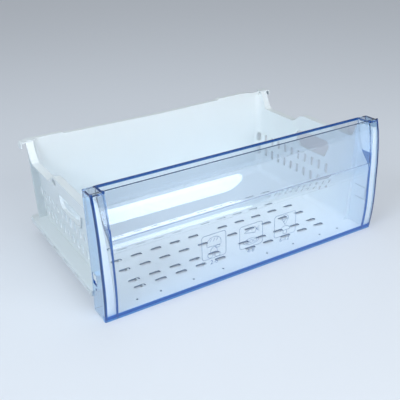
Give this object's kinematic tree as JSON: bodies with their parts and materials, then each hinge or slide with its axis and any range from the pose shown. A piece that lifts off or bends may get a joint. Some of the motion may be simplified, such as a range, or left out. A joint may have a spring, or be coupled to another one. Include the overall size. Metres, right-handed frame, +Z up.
{
  "type": "freezer drawer",
  "caption": "Wide open-top freezer drawer: white vented tub with side runners and a clear tinted front panel that has a grip pocket along its top.",
  "frame": {"origin": "on the ground plane, under the middle of the drawer's bounding box", "axes": "+X along the front to the right as seen from the front, +Y from the front to the back, +Z up"},
  "size_m": [0.456, 0.29, 0.178],
  "materials": {
    "tub_white": "satin",
    "panel_clear": "clear, polished, light blue tint"
  },
  "bodies": {
    "root": {"drawer_tub": "tub_white", "front_panel": "panel_clear"}
  },
  "joints": []
}
